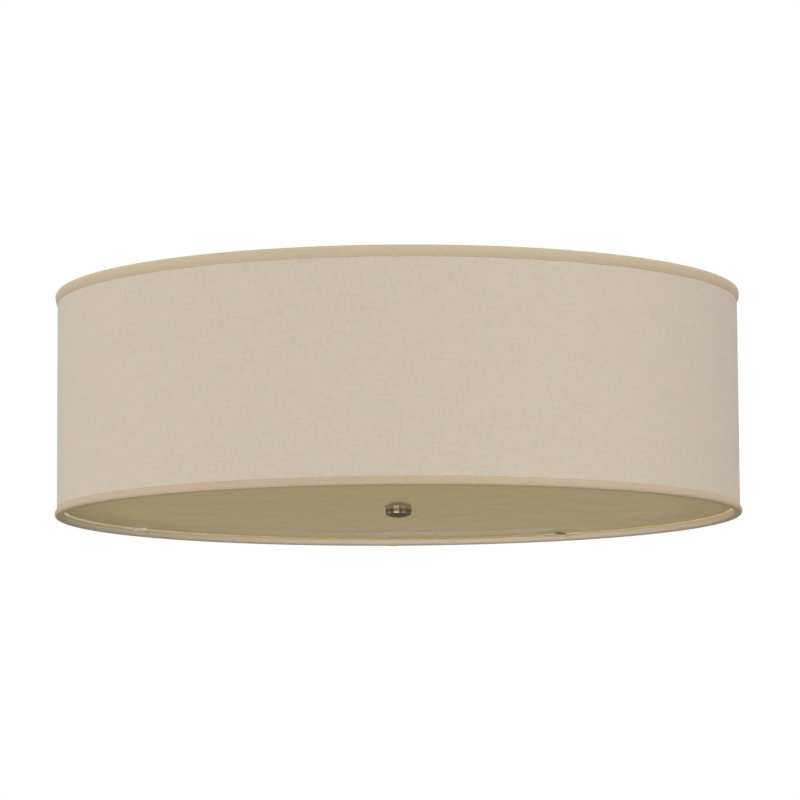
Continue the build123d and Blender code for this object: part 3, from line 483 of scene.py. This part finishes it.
def trim(name, z_rim, up, outer_h, notches, notch_w, notch_d, seed):
    """Tape folded over a rim: free edge, soft bulge, the roll under the rim and the inner leg stuck to the liner with
    glue.
    """
    skin = [
        (SHADE_R + 0.18, outer_h), (SHADE_R + 0.62, outer_h - 1.5), (SHADE_R + 1.6, outer_h - 3.8), (TRIM_R - 0.1, 5.2),
        (TRIM_R, 3.0), (TRIM_R - 0.7, 1.1), (SHADE_R + 0.2, 0.2), (RING_R + 1.5, 0.0),
        (RING_R - 1.1, 0.3), (RING_R - 2.6, 1.5), (RING_R - 3.1, 3.3),
        (RING_R - 3.0, 5.2), (RING_R - 2.85, 6.7), (RING_R - 2.3, 7.6), (RING_R - 0.6, 8.05), (LINER_IN - 0.25, 8.1),
    ]
    mid, s = through(skin, 0.7)
    width = s[-1]
    thick = np.interp(s, [0.0, 4.0, width - 3.0, width], [0.20, 0.62, 0.62, 0.40])[None, :]
    marks = [SEAM + 1.8, SEAM + 1.83]
    half = math.degrees(notch_w / 2 / 376.0)
    for a in notches:
        marks += [a - half - 0.03, a - half, a + half, a + half + 0.03]
    theta = columns(1440, marks)
    # beside each tab or arm the inner leg is pressed down to the ring, and a slit lets the lug or the arm through
    near = np.min([np.abs(gap(theta, a)) for a in notches], axis=0)
    press = 1 - np.clip((near - math.radians(3.1)) / math.radians(0.9), 0, 1)
    press = (press * press * (3 - 2 * press))[:, None]
    cut = np.zeros_like(theta)
    for a in notches:
        cut = np.maximum(cut, (np.abs(gap(theta, a)) <= math.radians(half + 0.001)).astype(float))
    past = np.where((s > width * 0.45) & (mid[:, 1] > notch_d))[0]
    s_cut = s[past[0]] if len(past) else width
    s_from = s_cut - 2.5
    squeezed = np.where(s > s_from, s_from + (s - s_from) * (s_cut - s_from) / (width - s_from), s)
    pos = s[None, :] * (1 - cut[:, None]) + squeezed[None, :] * cut[:, None]
    r = np.interp(pos, s, mid[:, 0])
    z = np.interp(pos, s, mid[:, 1])
    leg = ((pos > width * 0.45) & (z > 4.6)).astype(float)
    z = z - press * leg * (z - 4.6) * (1.6 / 3.5)
    # outward normal of the skin, from the profile
    d = np.gradient(mid, axis=0)
    d /= np.linalg.norm(d, axis=1)[:, None]
    normal = np.stack([-d[:, 1], d[:, 0]], -1)
    if (normal[len(mid) // 6] @ np.array([1.0, 0.0])) < 0:
        normal = -normal
    nr = np.interp(pos, s, normal[:, 0])
    nz = np.interp(pos, s, normal[:, 1])
    # hand work: the free edge wanders, the bulge swells and there are small puckers
    near_edge = np.clip(1 - s / 5.0, 0, 1) ** 2
    bulge = np.exp(-(((s - outer_h * 0.62) / 3.4) ** 2))
    inside = np.clip((s - width * 0.5) / (width * 0.5), 0, 1)
    z = z + (wave(theta, seed, 9, 60) * 0.16)[:, None] * near_edge[None, :]
    swell = (wave(theta, seed + 1, 20, 140) * 0.10)[:, None] * bulge[None, :]
    swell = swell + (wave(theta, seed + 2, 180, 420) * 0.035)[:, None] * (bulge + 0.6 * near_edge)[None, :]
    swell = swell + (wave(theta, seed + 3, 120, 330) * 0.05)[:, None] * inside[None, :] * (1 - cut[:, None])
    # the tape's end laps over its start
    lap = ((gap(theta, SEAM) >= 0) & (gap(theta, SEAM) < math.radians(1.81))).astype(float) * 0.35
    swell = swell + lap[:, None]
    r, z = r + nr * swell, z + nz * swell
    ends = np.minimum(s, width - s)
    round_off = np.sqrt(np.clip(1 - (1 - np.clip(ends / (thick / 2), 0, 1)) ** 2, 0, 1))
    half_t = thick / 2 * np.maximum(round_off, 0.12)
    out_r, out_z = r - nr * (thick / 2) + nr * half_t, z - nz * (thick / 2) + nz * half_t
    in_r, in_z = r - nr * (thick / 2) - nr * half_t, z - nz * (thick / 2) - nz * half_t
    loop_r = np.concatenate([out_r, in_r[:, ::-1]], 1)
    loop_z = np.concatenate([out_z, in_z[:, ::-1]], 1)
    prof = np.stack([loop_r, z_rim + up * loop_z], -1)
    along = np.concatenate([s, s[-1] + 0.6 + (s[-1] - s[::-1]), [2 * s[-1] + 1.2]])
    o = ring_mesh(name, theta, prof, along, TRIM_R)
    o.data.materials.append(mats["trim_tape"])
    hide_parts(name.replace("_tape", "_trim"))
    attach(o, "fixture")
    return o


top_tape = trim("top_tape", Z_TOP, -1, 12.3, SPIDER_ANGLES, 6.4, 0.9, 11)
bottom_tape = trim("bottom_tape", Z_BOT, 1, 9.6, TAB_ANGLES, 11.0, 4.2, 23)


def cloth():
    """The drum's fabric, laminated flat on the liner, with its lap at the back."""
    low, high = Z_BOT + TAPE_T + 0.1, Z_TOP - TAPE_T - 0.1
    levels = np.linspace(low, high, 42)
    lap_end = SEAM + math.degrees(10.0 / SHADE_R)
    theta = columns(1080, [SEAM - 0.012, SEAM, lap_end, lap_end + 0.6])
    seam = ((gap(theta, SEAM) > -0.0001) & (gap(theta, lap_end) < 0.0001)).astype(float) * 0.45
    slack = (wave(theta, 41, 3, 17) * 0.05)[:, None] * np.sin((levels - low) / (high - low) * math.pi)[None, :]
    slack = slack + (wave(theta, 42, 14, 46) * 0.03)[:, None] * np.sin((levels - low) / (high - low) * TAU * 1.5 + 0.7)[None, :]
    outer = SHADE_R - 0.02 + seam[:, None] + np.clip(slack, -0.12, 0.12)
    inner = np.full_like(outer, LINER_R + 0.03)
    loop_r = np.concatenate([outer, inner[:, ::-1]], 1)
    loop_z = np.broadcast_to(np.concatenate([levels, levels[::-1]]), loop_r.shape)
    along = np.concatenate([levels - low, (high - low) + 0.5 + (levels - low), [2 * (high - low) + 1.0]])
    o = ring_mesh("shade_cloth", theta, np.stack([loop_r, loop_z], -1), along, SHADE_R)
    o.data.materials.append(mats["shade_fabric"])
    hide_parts("shade_fabric")
    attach(o, "fixture")
    return o


shade_cloth = cloth()


# ---------------------------------------------------------------------------
# stage, light and camera
# ---------------------------------------------------------------------------
def stage_floor():
    """A pale floor far below, which only the camera sees, so that it neither lights nor shades the object."""
    bm = bmesh.new()
    bmesh.ops.create_circle(bm, cap_ends=True, segments=96, radius=60.0)
    for v in bm.verts:
        v.co.z = -7.0
    mesh = bpy.data.meshes.new("stage_floor")
    bm.to_mesh(mesh)
    bm.free()
    o = bpy.data.objects.new("stage_floor", mesh)
    bpy.context.scene.collection.objects.link(o)
    m = bpy.data.materials.new("stage_floor")
    m.use_nodes = True
    t = Tree(m.node_tree)
    t.tree.nodes.clear()
    x, y, _ = t.split(t.object_space())
    far = t.math("SQRT", t.sum(t.math("MULTIPLY", x, x), t.math("MULTIPLY", y, y)))
    fade = t.span(far, 4.0, 20.0, smooth=True)
    near = t.node("ShaderNodeBsdfDiffuse")
    near.inputs["Color"].default_value = (0.93, 0.925, 0.915, 1.0)
    white = t.node("ShaderNodeEmission")
    blend = t.node("ShaderNodeMixShader")
    t.put(fade, blend.inputs[0])
    t.tree.links.new(near.outputs[0], blend.inputs[1])
    t.tree.links.new(white.outputs[0], blend.inputs[2])
    t.tree.links.new(blend.outputs[0], t.node("ShaderNodeOutputMaterial").inputs[0])
    mesh.materials.append(m)
    for kind in ("diffuse", "glossy", "transmission", "volume_scatter", "shadow"):
        setattr(o, "visible_" + kind, False)
    return o


stage_floor()

# Softboxes: centre azimuth, half width, lowest and highest elevation, strength. Azimuth 0 is towards the camera,
# and grows to the right. The lights stand at the height of the camera, so they reach below the horizon.
SOFTBOXES = (
    (-19.0, 23.0, -36.0, 30.0, 1.90),
    (45.0, 19.0, -36.0, 30.0, 0.55),
    (-98.0, 18.0, -36.0, 8.0, 0.35),
    (-109.0, 22.0, 10.0, 55.0, 2.03),
    (88.0, 22.0, 10.0, 55.0, 2.45),
    (180.0, 50.0, 14.0, 50.0, 0.60),
)
UPPER = (0.42, 0.415, 0.40)
FRONT = (0.46, 0.445, 0.415)
BACK = (0.42, 0.345, 0.21)
LOWER = (0.26, 0.24, 0.20)
BOX_TINT = (1.0, 0.985, 0.955)


def studio():
    world = bpy.data.worlds.new("studio")
    bpy.context.scene.world = world
    world.use_nodes = True
    t = Tree(world.node_tree)
    t.tree.nodes.clear()
    x, y, z = t.split(t.node("ShaderNodeTexCoord").outputs["Generated"])
    azimuth = t.math("ARCTAN2", x, t.math("MULTIPLY", y, -1.0))
    elevation = t.math("ARCSINE", z)

    def step(value, degrees, feather, rising=True):
        low, high = math.radians(degrees - feather), math.radians(degrees + feather)
        return t.span(value, low, high, 0.0 if rising else 1.0, 1.0 if rising else 0.0, smooth=True)

    total = None
    for centre, half, low, high, strength in SOFTBOXES:
        away = t.math("PINGPONG", t.math("ABSOLUTE", t.math("SUBTRACT", azimuth, math.radians(centre))), math.pi)
        side = t.math("MULTIPLY", step(away, half, 4.0, rising=False), strength)
        box = t.math("MULTIPLY", side, t.math("MULTIPLY", step(elevation, low, 4.0), step(elevation, high, 6.0, rising=False)))
        total = box if total is None else t.math("ADD", total, box)
    round_front = step(t.math("ABSOLUTE", azimuth), 116.0, 10.0)
    # the room behind darkens towards its floor, which the diffuser's waves show
    behind = t.mix(t.span(elevation, math.radians(-13.0), math.radians(2.6)), shade(BACK, 0.61), shade(BACK, 1.39))
    middle = t.mix(round_front, FRONT, behind)
    ambient = t.mix(step(elevation, 3.0, 5.0), t.mix(step(elevation, -38.0, 7.0), LOWER, middle), UPPER)
    add = t.node("ShaderNodeMix", data_type="RGBA", blend_type="ADD", clamp_factor=False)
    t.put(total, add.inputs[0])
    t.put(ambient, add.inputs[6])
    add.inputs[7].default_value = (*BOX_TINT, 1.0)
    lit = t.node("ShaderNodeBackground")
    t.put(add.outputs[2], lit.inputs["Color"])
    seen = t.node("ShaderNodeBackground")
    seen.inputs["Color"].default_value = (1.0, 1.0, 1.0, 1.0)
    blend = t.node("ShaderNodeMixShader")
    t.put(t.node("ShaderNodeLightPath").outputs["Is Camera Ray"], blend.inputs[0])
    t.tree.links.new(lit.outputs[0], blend.inputs[1])
    t.tree.links.new(seen.outputs[0], blend.inputs[2])
    t.tree.links.new(blend.outputs[0], t.node("ShaderNodeOutputWorld").inputs[0])
    return world


studio()
view = bpy.context.scene.view_settings
view.view_transform = "Standard"
view.look = "None"
view.exposure = 0.0
view.gamma = 1.0

PITCH, ROLL, YAW = 0.1174, -0.00623, 0.00053
sy, cy, sp, cp = math.sin(YAW), math.cos(YAW), math.sin(PITCH), math.cos(PITCH)
ahead = Vector((sy * cp, cy * cp, sp))
up0 = Vector((-sp * sy, -sp * cy, cp))
right0 = Vector((cy, -sy, 0.0))
right = math.cos(ROLL) * right0 + math.sin(ROLL) * up0
up = math.cos(ROLL) * up0 - math.sin(ROLL) * right0
turn = Matrix((right, up, -ahead)).transposed().to_4x4()
lens = bpy.data.cameras.new("camera")
lens.lens = 185.72
lens.sensor_width = 36.0
lens.clip_start, lens.clip_end = 0.05, 200.0
camera = bpy.data.objects.new("camera", lens)
bpy.context.scene.collection.objects.link(camera)
camera.matrix_world = Matrix.Translation((0.0, -4.60089, -0.66988)) @ turn
bpy.context.scene.camera = camera

bpy.context.view_layer.update()
